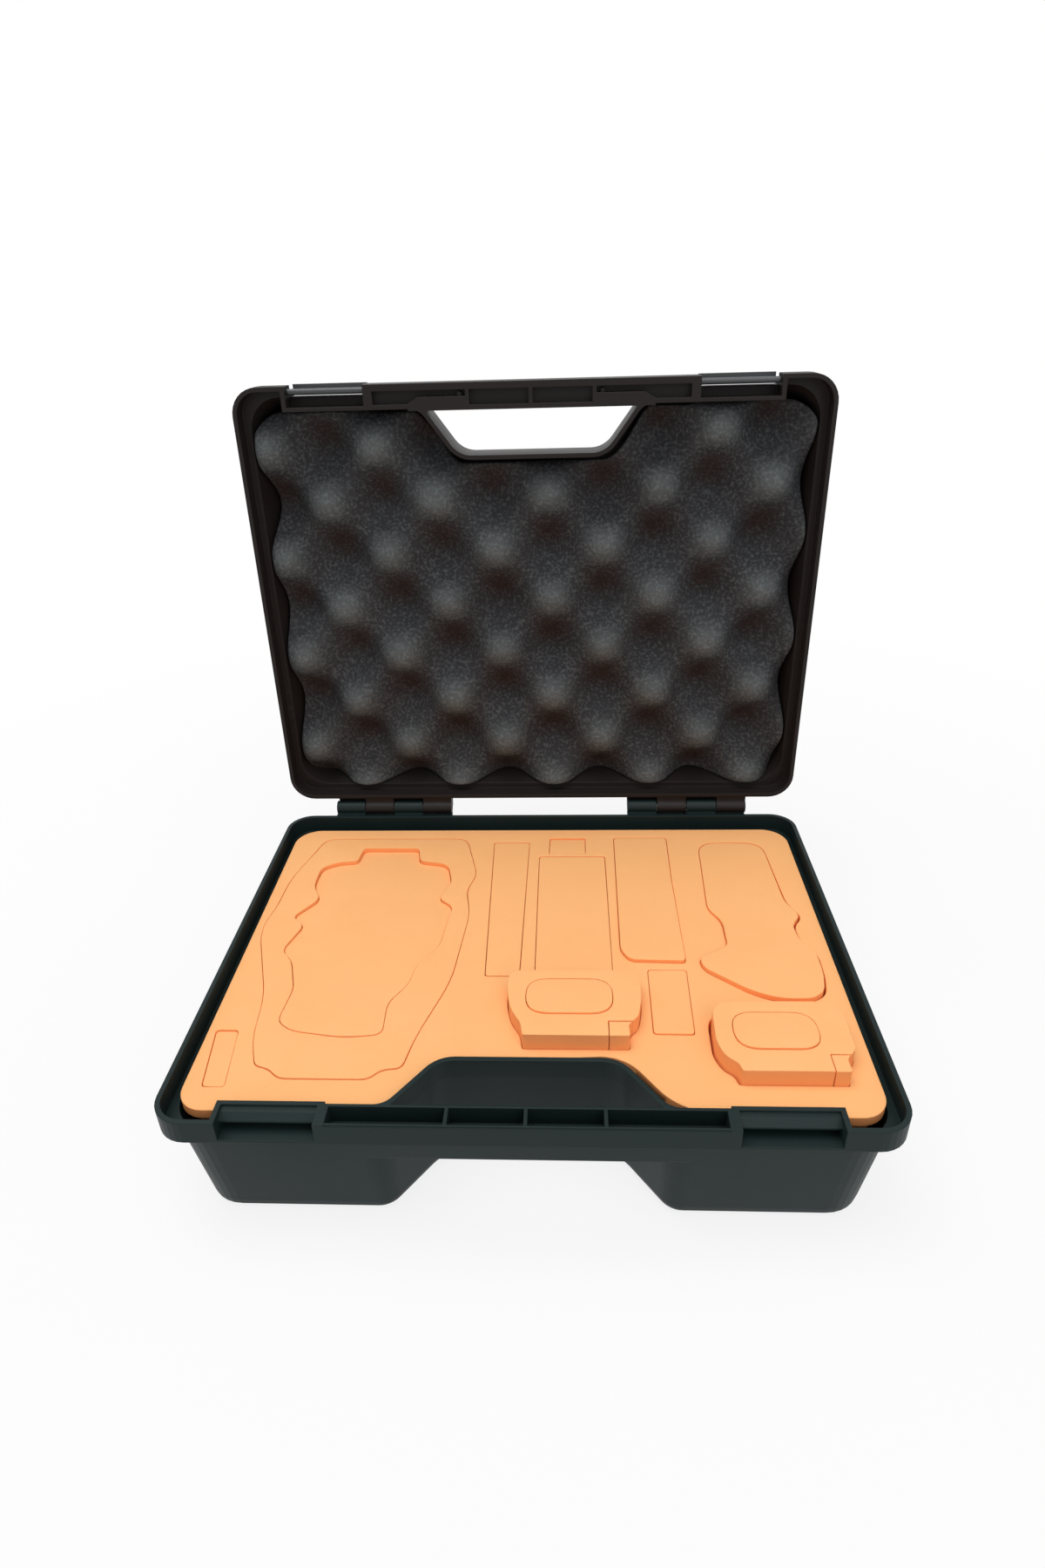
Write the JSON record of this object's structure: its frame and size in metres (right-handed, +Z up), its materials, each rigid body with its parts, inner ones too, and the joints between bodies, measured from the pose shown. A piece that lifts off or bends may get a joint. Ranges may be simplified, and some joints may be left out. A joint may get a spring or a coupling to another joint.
{
  "type": "drone carrying case",
  "caption": "Moulded plastic carrying case with hinged lid, swing latches, front grip, egg-crate lid pad and a die-cut foam insert whose plugs lift out to make room for a drone kit.",
  "frame": {"origin": "middle of the base's flat underside", "axes": "+Z up, -Y towards the handle side, +X to the right of a person facing the handle side"},
  "size_m": [0.33, 0.3028, 0.3338],
  "materials": {
    "shell": "satin moulded dark charcoal plastic",
    "latch": "satin moulded grey plastic",
    "pin": "plain drawn steel",
    "lid_foam": "open-cell dark grey foam",
    "foam": "closed-cell orange foam, cut faces"
  },
  "bodies": {
    "base": {"base_shell": "shell", "hinge_pin_left": "pin", "hinge_pin_right": "pin", "floor_pad": "foam", "die_cut_sheet": "foam"},
    "lid": {"lid_shell": "shell", "lid_foam": "lid_foam"},
    "latch_l": {"latch_left": "latch"},
    "latch_r": {"latch_right": "latch"},
    "aircraft": {"aircraft_plug": "foam"},
    "arms": {"arm_plug": "foam"},
    "blade": {"blade_plug": "foam"},
    "cable": {"cable_plug": "foam"},
    "charger": {"charger_plug": "foam"},
    "cord": {"cord_plug": "foam"},
    "tablet": {"tablet_plug": "foam"},
    "controller": {"controller_plug": "foam"},
    "adapter": {"adapter_plug": "foam"},
    "battery_l": {"battery_plug_left": "foam"},
    "battery_core_l": {"battery_core_left": "foam"},
    "battery_tail_l": {"battery_tail_left": "foam"},
    "battery_r": {"battery_plug_right": "foam"},
    "battery_core_r": {"battery_core_right": "foam"},
    "battery_tail_r": {"battery_tail_right": "foam"}
  },
  "joints": [
    {"name": "lid_hinge", "type": "hinge", "parent": "base", "child": "lid", "pos_m": [0, 0.1347, 0.072], "axis": [1, 0, 0], "range_deg": [0, 92]},
    {"name": "latch_left_swing", "type": "hinge", "parent": "lid", "child": "latch_l", "pos_m": [-0.113, 0.14763, 0.33041], "axis": [1, 0, 0], "range_deg": [0, 183]},
    {"name": "latch_right_swing", "type": "hinge", "parent": "lid", "child": "latch_r", "pos_m": [0.113, 0.14763, 0.33041], "axis": [1, 0, 0], "range_deg": [0, 183]},
    {"name": "aircraft_lift", "type": "slide", "parent": "base", "child": "aircraft", "axis": [0, 0, -1], "range_m": [-0.06, 0]},
    {"name": "arm_lift", "type": "slide", "parent": "base", "child": "arms", "axis": [0, 0, -1], "range_m": [-0.06, 0]},
    {"name": "blade_lift", "type": "slide", "parent": "base", "child": "blade", "axis": [0, 0, -1], "range_m": [-0.06, 0]},
    {"name": "cable_lift", "type": "slide", "parent": "base", "child": "cable", "axis": [0, 0, -1], "range_m": [-0.06, 0]},
    {"name": "charger_lift", "type": "slide", "parent": "base", "child": "charger", "axis": [0, 0, -1], "range_m": [-0.06, 0]},
    {"name": "cord_lift", "type": "slide", "parent": "base", "child": "cord", "axis": [0, 0, -1], "range_m": [-0.06, 0]},
    {"name": "tablet_lift", "type": "slide", "parent": "base", "child": "tablet", "axis": [0, 0, -1], "range_m": [-0.06, 0]},
    {"name": "controller_lift", "type": "slide", "parent": "base", "child": "controller", "axis": [0, 0, -1], "range_m": [-0.06, 0]},
    {"name": "adapter_lift", "type": "slide", "parent": "base", "child": "adapter", "axis": [0, 0, -1], "range_m": [-0.06, 0]},
    {"name": "battery_left_lift", "type": "slide", "parent": "base", "child": "battery_l", "axis": [0, 0, -1], "range_m": [-0.06, 0]},
    {"name": "battery_core_left_lift", "type": "slide", "parent": "battery_l", "child": "battery_core_l", "axis": [0, 0, -1], "range_m": [-0.06, 0]},
    {"name": "battery_tail_left_lift", "type": "slide", "parent": "battery_l", "child": "battery_tail_l", "axis": [0, 0, -1], "range_m": [-0.06, 0]},
    {"name": "battery_right_lift", "type": "slide", "parent": "base", "child": "battery_r", "axis": [0, 0, -1], "range_m": [-0.06, 0]},
    {"name": "battery_core_right_lift", "type": "slide", "parent": "battery_r", "child": "battery_core_r", "axis": [0, 0, -1], "range_m": [-0.06, 0]},
    {"name": "battery_tail_right_lift", "type": "slide", "parent": "battery_r", "child": "battery_tail_r", "axis": [0, 0, -1], "range_m": [-0.06, 0]}
  ]
}
